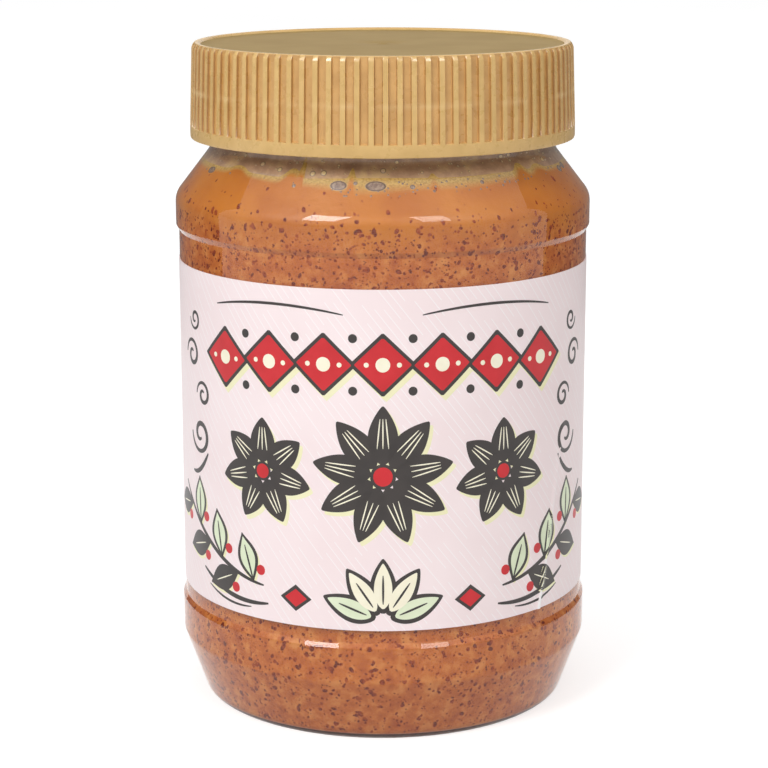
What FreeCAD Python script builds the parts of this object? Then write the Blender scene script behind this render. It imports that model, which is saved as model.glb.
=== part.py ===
"""Screw-top jar of almond butter: clear jar, ribbed cap, wrapped label and contents.

Millimetres, +Z up. The origin is the centre of the flat ring that the jar stands on,
and the label's printed face looks towards -Y. The driving sizes are cells of the sheet
"sizes", and every outline, rounding and pattern is bound to them.
"""
import FreeCAD, Part
import math
import os
import re

import Sketcher
from FreeCAD import Vector

doc = FreeCAD.newDocument("almond_butter_jar")
sheet = doc.addObject("Spreadsheet::Sheet", "sizes")

SIZES = [
    # jar, from the standing ring up
    ("jar_radius", 38.9, "outside of the two beads above and below the label panel"),
    ("heel_height", 12.35, "cone between the standing ring and the lower bead"),
    ("heel_lean", 4.4, "how far that cone comes in at its foot"),
    ("lower_bead_height", 6.45, "straight band under the label panel"),
    ("bead_step", 1.0, "height over which a bead steps in to the panel"),
    ("panel_height", 70.1, "recessed label panel"),
    ("panel_depth", 0.55, "how far the panel lies inside the beads"),
    ("upper_bead_height", 5.5, "straight band over the label panel"),
    ("shoulder_height", 9.0, "cone between the upper bead and the neck"),
    ("neck_radius", 32.0, "outside of the neck, at the root of its thread"),
    ("neck_height", 17.45, "neck, from the shoulder to the rim"),
    ("wall", 0.7, "side wall of the body"),
    ("neck_wall", 1.7, "wall of the neck"),
    ("base_wall", 1.2, "thickness of the base"),
    ("push_up", 4.0, "height of the hollow under the base"),
    ("hollow_radius", 29.9, "radius of that hollow, and inside of the standing ring"),
    ("heel_round", 2.2, "rounding from the standing ring into the heel"),
    ("heel_fillet", 1.5, "rounding of the inside corner at the heel"),
    ("bead_round", 2.5, "rounding from the heel into the lower bead"),
    ("step_round", 0.5, "rounding of the small steps at the panel"),
    ("shoulder_round", 4.0, "rounding from the upper bead into the shoulder"),
    ("neck_round", 4.0, "rounding from the shoulder into the neck"),
    ("rim_round", 0.5, "rounding of the rim"),
    # screw thread, shared by neck and cap
    ("thread_pitch", 4.2, "rise of the thread in one turn"),
    ("thread_turns", 1.1, "length of the thread, in turns"),
    ("thread_depth", 1.4, "how far the thread stands out of the neck"),
    ("thread_width", 1.8, "height of the thread at its root"),
    ("thread_crest", 0.6, "height of the thread at its crest"),
    ("thread_drop", 7.0, "start of the neck's thread, below the rim"),
    ("thread_bite", 0.3, "how deep a thread is sunk into its wall"),
    ("thread_gap", 0.4, "clearance between neck and cap threads"),
    # cap
    ("cap_wall", 1.6, "wall of the cap, behind its ribs"),
    ("cap_height", 17.55, "cap, from its lower edge to its raised border"),
    ("cap_top", 1.1, "thickness of the cap's top"),
    ("cap_lean", 0.5, "how far the cap's side comes in at its top"),
    ("border_height", 0.5, "raised border round the cap's top"),
    ("border_width", 0.8, "width of that border"),
    ("cap_edge_round", 0.4, "rounding of the cap's lower edge and border"),
    ("band_height", 2.3, "smooth band under the ribs"),
    ("rib_count", 90, "ribs round the cap"),
    ("rib_share", 0.43, "share of the circle that the ribs take"),
    ("rib_depth", 0.5, "how far the ribs stand out of the cap's side"),
    ("rib_head_height", 0.8, "height over which the ribs' heads slope in to the border"),
    # label
    ("label_thickness", 0.12, "printed film"),
    ("label_foot_gap", 2.55, "from the foot of the panel to the label"),
    ("label_head_gap", 5.4, "from the label to the head of the panel"),
    ("lap_angle", 16.0, "overlap of the label's ends at the back, in degrees"),
    ("lap_ramp", 2.0, "part of the overlap over which the film rises, in degrees"),
    # contents
    ("head_space", 20.1, "from the contents' level to the rim"),
    ("wave_height", 0.35, "unevenness of the contents' top"),
    ("wave_length", 22.5, "distance between its low waves along X"),
    ("cross_wave_length", 28.1, "distance between its low waves along Y"),
    ("wall_climb", 0.8, "how far the contents climb at the wall"),
    ("climb_power", 8, "how closely that climb keeps to the wall"),
    ("top_steps", 24, "steps of the grid that the contents' top passes through"),
]

for row, (alias, value, note) in enumerate(SIZES, start=1):
    sheet.set(f"A{row}", note)
    sheet.set(f"B{row}", str(value))
    sheet.setAlias(f"B{row}", alias)
doc.recompute()

ALIASES = {alias for alias, _, _ in SIZES}

# Two rings closer than this are the same ring.
NEAR = 1e-5

# Places that follow from the sizes, as formulas of the sheet's aliases.
LOWER_BEAD_TOP = "(heel_height + lower_bead_height)"
PANEL_FOOT = f"({LOWER_BEAD_TOP} + bead_step)"
PANEL_HEAD = f"({PANEL_FOOT} + panel_height)"
UPPER_BEAD_FOOT = f"({PANEL_HEAD} + bead_step)"
UPPER_BEAD_TOP = f"({UPPER_BEAD_FOOT} + upper_bead_height)"
NECK_FOOT = f"({UPPER_BEAD_TOP} + shoulder_height)"
RIM = f"({NECK_FOOT} + neck_height)"
PANEL_RADIUS = "(jar_radius - panel_depth)"
HEEL_RADIUS = "(jar_radius - heel_lean)"
DOME_RADIUS = "((hollow_radius ^ 2 + push_up ^ 2) / (2 * push_up))"
BORE = "(neck_radius - neck_wall)"
INNER_HEEL = "(jar_radius - heel_lean * (1 - base_wall / heel_height) - wall)"
INNER_BEAD = "(jar_radius - wall)"
INNER_PANEL = f"({PANEL_RADIUS} - wall)"
SHOULDER_TURN = "atan((jar_radius - neck_radius) / shoulder_height)"
INNER_SHOULDER = f"({UPPER_BEAD_TOP} - wall * tan({SHOULDER_TURN} / 2))"

CAP_BORE = "(neck_radius + thread_depth + thread_gap)"
CAP_RADIUS = f"({CAP_BORE} + cap_wall + rib_depth)"
RIB_HEAD = "(cap_height - rib_head_height)"
RIB_HEAD_RADIUS = f"({CAP_RADIUS} - cap_lean)"
BORDER_RADIUS = f"({RIB_HEAD_RADIUS} - rib_depth)"
CAP_TOP_FACE = "(cap_height - border_height)"
CAP_SEAT = f"({CAP_TOP_FACE} - cap_top)"
THREAD_START = f"({RIM} - thread_drop)"

FILL_LEVEL = f"({RIM} - head_space)"


def bind(formula):
    """Point each alias in a formula at the sheet."""
    def point(word):
        return f"sizes.{word[0]}" if word[0] in ALIASES else word[0]
    return re.sub(r"[a-z_]+", point, formula)


def number(formula):
    """Value of a formula, for the first placing of sketch geometry."""
    value = sheet.evalExpression(formula)
    return float(getattr(value, "Value", value))


def new_body(label):
    """A body whose name and label are the node's name."""
    body = doc.addObject("PartDesign::Body", label)
    body.Label = label
    return body


def new_sketch(body, name, role):
    """A sketch on one of the body's own origin planes."""
    sketch = body.newObject("Sketcher::SketchObject", name)
    plane = next(item for item in body.Origin.OriginFeatures if item.Role == role)
    sketch.AttachmentSupport = [(plane, "")]
    sketch.MapMode = "FlatFace"
    return sketch


def arc_between(start, end, radius, turn):
    """Short arc from start to end; turn is 1 to the left, -1 to the right."""
    chord = end - start
    middle = (start + end) * 0.5
    across = Vector(-chord.y, chord.x, 0).normalize()
    rise = math.sqrt(max(radius ** 2 - (chord.Length / 2) ** 2, 0.0))
    centre = middle + across * rise * turn
    circle = Part.Circle(centre, Vector(0, 0, 1), radius)
    first, last = (start, end) if turn > 0 else (end, start)
    angle_first = math.atan2(first.y - centre.y, first.x - centre.x)
    angle_last = math.atan2(last.y - centre.y, last.x - centre.x)
    return Part.ArcOfCircle(circle, angle_first, angle_last)


def draw(sketch, corners):
    """Closed outline through the corners, each (x, y) or (x, y, radius, turn) in formulas.

    A corner with a radius starts an arc to the next corner. Coordinates of "0" lie on
    the sketch's axes.
    """
    points = [Vector(number(corner[0]), number(corner[1]), 0) for corner in corners]
    starts = []
    ends = []
    first = sketch.GeometryCount
    for index, corner in enumerate(corners):
        here = points[index]
        there = points[(index + 1) % len(points)]
        if len(corner) == 2:
            geometry = sketch.addGeometry(Part.LineSegment(here, there))
            turn = 1
        else:
            turn = corner[3]
            geometry = sketch.addGeometry(arc_between(here, there, number(corner[2]), turn))
        starts.append((geometry, 1 if turn > 0 else 2))
        ends.append((geometry, 2 if turn > 0 else 1))
    for index, end in enumerate(ends):
        start = starts[(index + 1) % len(starts)]
        sketch.addConstraint(Sketcher.Constraint("Coincident", *end, *start))
    for index, corner in enumerate(corners):
        for axis, kind, formula in ((-2, "DistanceX", corner[0]), (-1, "DistanceY", corner[1])):
            if formula == "0":
                sketch.addConstraint(Sketcher.Constraint("PointOnObject", *starts[index], axis))
            else:
                place = Sketcher.Constraint(kind, -1, 1, *starts[index], number(formula))
                constraint = sketch.addConstraint(place)
                sketch.setExpression(f"Constraints[{constraint}]", bind(formula))
        if len(corner) > 2:
            size = Sketcher.Constraint("Radius", first + index, number(corner[2]))
            constraint = sketch.addConstraint(size)
            sketch.setExpression(f"Constraints[{constraint}]", bind(corner[2]))


def draw_circle(sketch, radius):
    """Circle about the sketch's origin."""
    circle = sketch.addGeometry(Part.Circle(Vector(0, 0, 0), Vector(0, 0, 1), number(radius)))
    sketch.addConstraint(Sketcher.Constraint("Coincident", circle, 3, -1, 1))
    size = sketch.addConstraint(Sketcher.Constraint("Radius", circle, number(radius)))
    sketch.setExpression(f"Constraints[{size}]", bind(radius))


def spin(body, name, kind, sketch, angle=360.0):
    """Revolve a sketch of the XZ plane round the Z axis; kind is Revolution or Groove."""
    doc.recompute()
    before = body.Shape.Volume if kind == "Groove" else 0.0
    feature = body.newObject(f"PartDesign::{kind}", name)
    feature.Profile = sketch
    feature.ReferenceAxis = (sketch, ["V_Axis"])
    feature.Midplane = True
    if isinstance(angle, str):
        feature.setExpression("Angle", bind(angle))
    else:
        feature.Angle = angle
    sketch.Visibility = False
    doc.recompute()
    if kind == "Groove" and feature.Shape.Volume >= before:
        raise RuntimeError(f"{name} cuts nothing")
    return feature


def round_rings(body, name, radius, rings):
    """Round the body's circular edges that pass through the given (radius, height) places."""
    base = body.Tip
    places = [(number(ring), number(height)) for ring, height in rings]
    edges = []
    for index, edge in enumerate(base.Shape.Edges, start=1):
        if edge.Degenerated or not isinstance(edge.Curve, Part.Circle):
            continue
        for ring, height in places:
            same_ring = abs(edge.Curve.Radius - ring) < NEAR
            same_height = abs(edge.Curve.Center.z - height) < NEAR
            if same_ring and same_height:
                edges.append(f"Edge{index}")
    if len(edges) < len(rings):
        raise RuntimeError(f"{name} finds only {len(edges)} of {len(rings)} edges")
    feature = body.newObject("PartDesign::Fillet", name)
    feature.Base = (base, edges)
    feature.setExpression("Radius", bind(radius))
    doc.recompute()
    return feature


def thread(body, name, root, crest, start):
    """One right-hand thread between two radii, its lower end centred at a height."""
    sketch = new_sketch(body, f"{name}_section", "XZ_Plane")
    draw(sketch, [
        (root, f"{start} - thread_width / 2"),
        (crest, f"{start} - thread_crest / 2"),
        (crest, f"{start} + thread_crest / 2"),
        (root, f"{start} + thread_width / 2"),
    ])
    doc.recompute()
    before = body.Shape.Volume
    helix = body.newObject("PartDesign::AdditiveHelix", name)
    helix.Profile = sketch
    helix.ReferenceAxis = (sketch, ["V_Axis"])
    helix.Mode = "pitch-turns-angle"
    helix.setExpression("Pitch", bind("thread_pitch"))
    helix.setExpression("Turns", bind("thread_turns"))
    sketch.Visibility = False
    doc.recompute()
    if helix.Shape.Volume <= before:
        raise RuntimeError(f"{name} adds nothing")
    return helix


def cavity_corners():
    """Inside of the jar, from the base's dome to the rim, closed along the axis."""
    return [
        ("0", "push_up + base_wall", DOME_RADIUS, -1),
        ("hollow_radius", "base_wall"),
        (INNER_HEEL, "base_wall"),
        (INNER_BEAD, "heel_height"),
        (INNER_BEAD, LOWER_BEAD_TOP),
        (INNER_PANEL, PANEL_FOOT),
        (INNER_PANEL, PANEL_HEAD),
        (INNER_BEAD, UPPER_BEAD_FOOT),
        (INNER_BEAD, INNER_SHOULDER),
        (BORE, NECK_FOOT),
        (BORE, RIM),
        ("0", RIM),
    ]


def round_cavity(body):
    """Rounded inside corners of the heel and the shoulder, the same on jar and contents."""
    round_rings(body, f"{body.Name}_heel_fillet", "heel_fillet", [(INNER_HEEL, "base_wall")])
    round_rings(body, f"{body.Name}_shoulder_fillet", "shoulder_round - wall",
                [(INNER_BEAD, INNER_SHOULDER)])


def make_jar():
    """Blow-moulded clear jar: domed base, heel, two beads, label panel, shoulder and neck."""
    body = new_body("jar")
    outside = new_sketch(body, "jar_outside", "XZ_Plane")
    draw(outside, [
        ("0", "push_up", DOME_RADIUS, -1),
        ("hollow_radius", "0"),
        (HEEL_RADIUS, "0"),
        ("jar_radius", "heel_height"),
        ("jar_radius", LOWER_BEAD_TOP),
        (PANEL_RADIUS, PANEL_FOOT),
        (PANEL_RADIUS, PANEL_HEAD),
        ("jar_radius", UPPER_BEAD_FOOT),
        ("jar_radius", UPPER_BEAD_TOP),
        ("neck_radius", NECK_FOOT),
        ("neck_radius", RIM),
        ("0", RIM),
    ])
    spin(body, "jar_block", "Revolution", outside)
    round_rings(body, "jar_heel_round", "heel_round", [(HEEL_RADIUS, "0")])
    round_rings(body, "jar_bead_round", "bead_round", [("jar_radius", "heel_height")])
    round_rings(body, "jar_step_rounds", "step_round", [
        ("jar_radius", LOWER_BEAD_TOP),
        (PANEL_RADIUS, PANEL_FOOT),
        (PANEL_RADIUS, PANEL_HEAD),
        ("jar_radius", UPPER_BEAD_FOOT),
    ])
    round_rings(body, "jar_shoulder_round", "shoulder_round", [("jar_radius", UPPER_BEAD_TOP)])
    round_rings(body, "jar_neck_round", "neck_round", [("neck_radius", NECK_FOOT)])
    inside = new_sketch(body, "jar_inside", "XZ_Plane")
    draw(inside, cavity_corners())
    spin(body, "jar_cavity", "Groove", inside)
    round_cavity(body)
    round_rings(body, "jar_rim_round", "rim_round", [("neck_radius", RIM), (BORE, RIM)])
    thread(body, "jar_thread", "neck_radius - thread_bite", "neck_radius + thread_depth",
           THREAD_START)
    return body


def make_cap():
    """Moulded screw cap: lower band, ribbed side, raised border round a sunk top."""
    body = new_body("lid")
    body.setExpression("Placement.Base.z", bind(f"{RIM} - {CAP_SEAT}"))
    shell = new_sketch(body, "lid_section", "XZ_Plane")
    draw(shell, [
        (CAP_BORE, "0"),
        (CAP_RADIUS, "0"),
        (CAP_RADIUS, "band_height"),
        (RIB_HEAD_RADIUS, RIB_HEAD),
        (BORDER_RADIUS, "cap_height"),
        (f"{BORDER_RADIUS} - border_width", "cap_height"),
        (f"{BORDER_RADIUS} - border_width - border_height", CAP_TOP_FACE),
        ("0", CAP_TOP_FACE),
        ("0", CAP_SEAT),
        (CAP_BORE, CAP_SEAT),
    ])
    spin(body, "lid_shell", "Revolution", shell)
    round_rings(body, "lid_edge_rounds", "cap_edge_round", [
        (CAP_RADIUS, "0"),
        (BORDER_RADIUS, "cap_height"),
        (f"{BORDER_RADIUS} - border_width", "cap_height"),
    ])
    jar_thread_start = f"({THREAD_START} - ({RIM} - {CAP_SEAT}))"
    thread(body, "lid_thread", f"{CAP_BORE} + thread_bite", "neck_radius + thread_gap",
           f"({jar_thread_start} - thread_pitch / 2)")
    cut_rib_grooves(body)
    return body


def cut_rib_grooves(body):
    """Grooves between the ribs, from the lower band up through the cap's upper edge."""
    overrun = "(cap_height + rib_depth)"
    lean = f"(cap_lean * ({overrun} - band_height) / ({RIB_HEAD} - band_height))"
    section = new_sketch(body, "lid_groove_section", "XZ_Plane")
    draw(section, [
        (f"{CAP_RADIUS} - rib_depth", "band_height"),
        (f"{CAP_RADIUS} + rib_depth", "band_height"),
        (f"{CAP_RADIUS} + rib_depth", overrun),
        (f"{CAP_RADIUS} - rib_depth - {lean}", overrun),
    ])
    groove = spin(body, "lid_groove", "Groove", section, "360 / rib_count * (1 - rib_share)")
    before = body.Shape.Volume
    grooves = body.newObject("PartDesign::PolarPattern", "lid_grooves")
    grooves.Originals = [groove]
    grooves.Axis = (section, ["V_Axis"])
    grooves.Angle = 360.0
    grooves.setExpression("Occurrences", bind("rib_count"))
    body.Tip = grooves
    doc.recompute()
    if grooves.Shape.Volume >= before:
        raise RuntimeError("the rib grooves are not repeated")


def on_circle(radius, angle):
    """Corner at a radius and an angle of the XY plane, both formulas; the angle in degrees."""
    return (f"({radius}) * cos({angle})", f"({radius}) * sin({angle})")


def make_label():
    """Film wrapped round the panel, its free end lapped over its start at the back."""
    body = new_body("label")
    body.setExpression("Placement.Base.z", bind(f"{PANEL_FOOT} + label_foot_gap"))
    film = f"({PANEL_RADIUS} + label_thickness)"
    lap = f"({PANEL_RADIUS} + 2 * label_thickness)"
    free_end = "(90 - lap_angle / 2)"
    ramp_head = "(90 + lap_angle / 2 - lap_ramp)"
    ramp_foot = "(90 + lap_angle / 2)"
    section = new_sketch(body, "label_section", "XY_Plane")
    draw(section, [
        on_circle(film, free_end),
        on_circle(lap, free_end) + (lap, 1),
        on_circle(lap, ramp_head),
        on_circle(film, ramp_foot) + (film, 1),
        ("0", f"-{film}", film, 1),
    ])
    draw_circle(section, PANEL_RADIUS)
    doc.recompute()
    wrap = body.newObject("PartDesign::Pad", "label_wrap")
    wrap.Profile = section
    wrap.setExpression("Length", bind("panel_height - label_foot_gap - label_head_gap"))
    section.Visibility = False
    doc.recompute()
    return body


def contents_height(x, y):
    """Height of the contents' top at a place: low waves, and a climb at the wall."""
    along = 2 * math.pi * x / number("wave_length")
    across = 2 * math.pi * y / number("cross_wave_length")
    wave = number("wave_height") * math.sin(along) * math.cos(across)
    reach = min(math.hypot(x, y) / number(BORE), 1.0)
    climb = number("wall_climb") * reach ** number("climb_power")
    return number(FILL_LEVEL) + wave + climb


def make_contents():
    """Almond butter that fills the jar to its level, with an uneven top."""
    core = new_body("contents_core")
    inside = new_sketch(core, "contents_inside", "XZ_Plane")
    draw(inside, cavity_corners())
    spin(core, "contents_block", "Revolution", inside)
    round_cavity(core)

    reach = number("jar_radius")
    steps = int(number("top_steps"))
    ticks = [reach * (2 * index / steps - 1) for index in range(steps + 1)]
    grid = [[Vector(x, y, contents_height(x, y)) for y in ticks] for x in ticks]
    top = Part.BSplineSurface()
    top.interpolate(grid)
    air = doc.addObject("Part::Feature", "air_above")
    air.Shape = top.toShape().extrude(Vector(0, 0, number("neck_height") + number("head_space")))

    contents = doc.addObject("Part::Cut", "almond_butter")
    contents.Label = "almond_butter"
    contents.Base = core
    contents.Tool = air
    doc.recompute()
    return contents


def check(parts):
    """Stop on a failed feature, or on a part that isn't one sound solid."""
    for item in doc.Objects:
        if {"Invalid", "Error"} & set(item.State):
            raise RuntimeError(f"{item.Name} failed: {item.State}")
    for part in parts:
        shape = part.Shape
        if shape.isNull() or not shape.isValid() or len(shape.Solids) != 1:
            raise RuntimeError(f"{part.Label} is not one valid solid")


def write(parts):
    """One STEP file for each part, named by its label."""
    os.makedirs("parts", exist_ok=True)
    for part in parts:
        part.Shape.exportStep(f"parts/{part.Label}.step")
        box = part.Shape.BoundBox
        print(f"{part.Label}: {part.Shape.Volume:.0f} mm3, z {box.ZMin:.2f} to {box.ZMax:.2f}")


parts = [make_jar(), make_cap(), make_label(), make_contents()]
doc.recompute()
check(parts)
write(parts)
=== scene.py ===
"""Looks of the almond butter jar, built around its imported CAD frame.

Lengths in the helper functions are millimetres and angles degrees; a mesh turns them
into metres when it is made. The jar's axis is Z, and azimuth 0 is the label's front,
which looks towards -Y; azimuth grows towards +X.
"""
import math
import random

import bmesh
import bpy
from mathutils import Matrix, Vector


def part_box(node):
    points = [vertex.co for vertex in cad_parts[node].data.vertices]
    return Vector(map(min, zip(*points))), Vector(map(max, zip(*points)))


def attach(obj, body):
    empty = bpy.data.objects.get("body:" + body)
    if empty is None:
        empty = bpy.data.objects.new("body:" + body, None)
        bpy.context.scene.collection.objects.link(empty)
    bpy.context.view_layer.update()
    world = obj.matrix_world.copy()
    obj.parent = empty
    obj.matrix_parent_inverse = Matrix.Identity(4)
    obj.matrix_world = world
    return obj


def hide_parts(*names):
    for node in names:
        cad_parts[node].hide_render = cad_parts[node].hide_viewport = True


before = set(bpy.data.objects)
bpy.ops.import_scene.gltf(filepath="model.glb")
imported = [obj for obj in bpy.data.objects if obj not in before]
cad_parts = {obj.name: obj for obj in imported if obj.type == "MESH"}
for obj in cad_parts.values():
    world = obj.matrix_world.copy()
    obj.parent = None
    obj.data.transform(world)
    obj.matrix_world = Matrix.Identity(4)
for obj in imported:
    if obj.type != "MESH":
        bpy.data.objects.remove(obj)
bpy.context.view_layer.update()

MM = 0.001

# -------- sizes, from the frame


def extent(node):
    """Lowest and highest corner of a CAD node, in millimetres."""
    low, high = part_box(node)
    return Vector(low) / MM, Vector(high) / MM


_, JAR_HIGH = extent("jar")
LID_LOW, LID_HIGH = extent("lid")
LABEL_LOW, LABEL_HIGH = extent("label")

JAR_RADIUS = JAR_HIGH.x
RIM = JAR_HIGH.z
LID_RADIUS = LID_HIGH.x

# The jar's outline, in the steps of its construction.
HEEL_HEIGHT = 12.35
HEEL_LEAN = 4.4
LOWER_BEAD = 6.45
BEAD_STEP = 1.0
PANEL_DEPTH = 0.55
UPPER_BEAD = 5.5
SHOULDER = 9.0
NECK_HEIGHT = 17.45
NECK_RADIUS = 32.0
WALL = 0.7
NECK_WALL = 1.7
BASE_WALL = 1.2
PUSH_UP = 4.0
HOLLOW_RADIUS = 29.9

NECK_FOOT = RIM - NECK_HEIGHT
UPPER_BEAD_TOP = NECK_FOOT - SHOULDER
UPPER_BEAD_FOOT = UPPER_BEAD_TOP - UPPER_BEAD
PANEL_HEAD = UPPER_BEAD_FOOT - BEAD_STEP
LOWER_BEAD_TOP = HEEL_HEIGHT + LOWER_BEAD
PANEL_FOOT = LOWER_BEAD_TOP + BEAD_STEP
PANEL_RADIUS = JAR_RADIUS - PANEL_DEPTH
BORE = NECK_RADIUS - NECK_WALL
SHOULDER_TURN = math.atan((JAR_RADIUS - NECK_RADIUS) / SHOULDER)

FILL_LEVEL = RIM - 20.1
LABEL_FOOT = LABEL_LOW.z
LABEL_HEIGHT = LABEL_HIGH.z - LABEL_LOW.z
LABEL_RADIUS = PANEL_RADIUS + 0.12

# -------- helpers: meshes


def around(radius, azimuth, height):
    """Point at a radius, an azimuth in degrees and a height."""
    angle = math.radians(azimuth)
    return (radius * math.sin(angle), -radius * math.cos(angle), height)


def face_outwards(mesh):
    """Turn every face of a closed mesh to look out of it."""
    work = bmesh.new()
    work.from_mesh(mesh)
    bmesh.ops.recalc_face_normals(work, faces=work.faces)
    work.to_mesh(mesh)
    work.free()


def put(name, data):
    """New object in the scene."""
    thing = bpy.data.objects.new(name, data)
    bpy.context.scene.collection.objects.link(thing)
    return thing


def make_piece(name, points, faces, material, replaced=None, sharp=40.0):
    """Mesh object from millimetre points, smooth but for edges over the sharp angle."""
    mesh = bpy.data.meshes.new(name)
    mesh.from_pydata([(x * MM, y * MM, z * MM) for x, y, z in points], [], faces)
    face_outwards(mesh)
    mesh.shade_smooth()
    mesh.set_sharp_from_angle(angle=math.radians(sharp))
    piece = put(name, mesh)
    mesh.materials.append(material)
    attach(piece, "root")
    if replaced:
        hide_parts(replaced)
    return piece


def rounded(corners, steps=6):
    """Outline through (radius, height, rounding) corners, each turned into an arc."""
    outline = []
    for index, (x, z, rounding) in enumerate(corners):
        here = Vector((x, z))
        if not rounding:
            outline.append((x, z))
            continue
        before = (Vector(corners[index - 1][:2]) - here).normalized()
        after = (Vector(corners[(index + 1) % len(corners)][:2]) - here).normalized()
        reach = rounding / math.tan(before.angle(after) / 2)
        start = here + before * reach
        end = here + after * reach
        for step in range(steps + 1):
            t = step / steps
            # A quadratic curve through the corner follows a flat arc closely.
            point = start * (1 - t) ** 2 + here * 2 * t * (1 - t) + end * t ** 2
            outline.append((point.x, point.y))
    return outline


def lathe(outline, azimuths, radius_at=None):
    """Closed outline of (radius, height) turned round the axis.

    radius_at(radius, height, azimuth, row) may change a point's radius and height.
    """
    points = []
    for row, (radius, height) in enumerate(outline):
        for azimuth in azimuths:
            r, z = radius_at(radius, height, azimuth, row) if radius_at else (radius, height)
            points.append(around(max(r, 0.0), azimuth, z))
    columns = len(azimuths)
    faces = []
    for row, (radius, _) in enumerate(outline):
        above = (row + 1) % len(outline)
        for column in range(columns):
            beside = (column + 1) % columns
            low = [row * columns + column, row * columns + beside]
            high = [above * columns + beside, above * columns + column]
            if radius <= 0:
                low = [row * columns]
            if outline[above][0] <= 0:
                high = [above * columns]
            if len(low) + len(high) > 2:
                faces.append(low + high)
    # A row on the axis needs one point alone.
    used = sorted({corner for face in faces for corner in face})
    place = {old: new for new, old in enumerate(used)}
    return [points[old] for old in used], [[place[corner] for corner in face] for face in faces]


def even_azimuths(count):
    """Evenly spaced azimuths of a full turn."""
    return [360.0 * index / count for index in range(count)]


# -------- helpers: materials


def srgb(red, green, blue):
    """Linear colour of an 8-bit sRGB one."""
    def channel(value):
        value /= 255
        return value / 12.92 if value <= 0.04045 else ((value + 0.055) / 1.055) ** 2.4
    return (channel(red), channel(green), channel(blue), 1.0)


class Surface:
    """A node material with one Principled shader and short calls for its inputs."""

    def __init__(self, name, roughness=0.5, ior=1.5, specular=0.5):
        self.material = bpy.data.materials.new(name)
        self.material.use_nodes = True
        self.tree = self.material.node_tree
        self.shader = self.tree.nodes["Principled BSDF"]
        self.output = self.tree.nodes["Material Output"]
        self.shader.inputs["Roughness"].default_value = roughness
        self.shader.inputs["IOR"].default_value = ior
        self.shader.inputs["Specular IOR Level"].default_value = specular
        self.place = self.node("ShaderNodeTexCoord").outputs["Object"]

    def node(self, kind, inputs=None, **settings):
        """New node; each of its inputs takes a socket or a constant."""
        node = self.tree.nodes.new(kind)
        for key, value in settings.items():
            setattr(node, key, value)
        for key, value in (inputs or {}).items():
            if isinstance(value, bpy.types.NodeSocket):
                self.link(value, node.inputs[key])
            else:
                node.inputs[key].default_value = value
        return node

    def link(self, source, target):
        self.tree.links.new(source, target)

    def attribute(self, name):
        """Value that the mesh carries under a name."""
        return self.node("ShaderNodeAttribute", attribute_name=name).outputs["Fac"]

    def noise(self, scale, detail=3.0, roughness=0.5):
        """Noise value; scale is in waves per metre."""
        inputs = {"Scale": scale, "Detail": detail, "Roughness": roughness, "Vector": self.place}
        return self.node("ShaderNodeTexNoise", inputs).outputs["Fac"]

    def ramp(self, value, stops):
        """Colour ramp over (position, 8-bit sRGB colour) stops."""
        node = self.node("ShaderNodeValToRGB", {"Fac": value})
        band = node.color_ramp
        while len(band.elements) < len(stops):
            band.elements.new(0.5)
        for element, (position, colour) in zip(band.elements, stops):
            element.position = position
            element.color = srgb(*colour)
        return node.outputs["Color"]

    def mottle(self, scale, *stops, **settings):
        """Colour ramp over noise; the settings are those of noise."""
        return self.ramp(self.noise(scale, **settings), stops)

    def range(self, value, low, high, to_low=0.0, to_high=1.0):
        """Value mapped from one range to another, clamped."""
        inputs = {"From Min": low, "From Max": high, "To Min": to_low, "To Max": to_high}
        return self.node("ShaderNodeMapRange", {**inputs, "Value": value}).outputs["Result"]

    def math(self, operation, first, second=None):
        """Result of a Math node; an argument is a socket or a number."""
        inputs = {0: first} if second is None else {0: first, 1: second}
        return self.node("ShaderNodeMath", inputs, operation=operation).outputs["Value"]

    def mix(self, factor, first, second):
        """Colour between two 8-bit sRGB colours or sockets, by a factor socket."""
        ends = [srgb(*value) if isinstance(value, tuple) else value for value in (first, second)]
        inputs = {0: factor, 6: ends[0], 7: ends[1]}
        return self.node("ShaderNodeMix", inputs, data_type="RGBA").outputs[2]

    def colour(self, socket):
        self.link(socket, self.shader.inputs["Base Color"])

    def roughness(self, socket):
        self.link(socket, self.shader.inputs["Roughness"])

    def bump(self, height, distance, strength=1.0):
        """Bump from a height socket; distance in metres."""
        inputs = {"Strength": strength, "Distance": distance, "Height": height}
        bump = self.node("ShaderNodeBump", inputs)
        self.link(bump.outputs["Normal"], self.shader.inputs["Normal"])

    def blend(self, factor, first, second):
        """Show a mix of two shader sockets, by a factor socket."""
        mixed = self.node("ShaderNodeMixShader", {0: factor, 1: first, 2: second})
        self.link(mixed.outputs["Shader"], self.output.inputs["Surface"])

    def height(self):
        """Height above the ground, in metres."""
        return self.node("ShaderNodeSeparateXYZ", {"Vector": self.place}).outputs["Z"]


def ray_kinds(tree, kinds):
    """Socket that is 1 for the named kinds of ray, in the tree of a material or the world."""
    path = tree.nodes.new("ShaderNodeLightPath")
    seen = path.outputs[kinds[0]]
    for kind in kinds[1:]:
        either = tree.nodes.new("ShaderNodeMath")
        either.operation = "MAXIMUM"
        tree.links.new(seen, either.inputs[0])
        tree.links.new(path.outputs[kind], either.inputs[1])
        seen = either.outputs["Value"]
    return seen


# -------- jar


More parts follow.
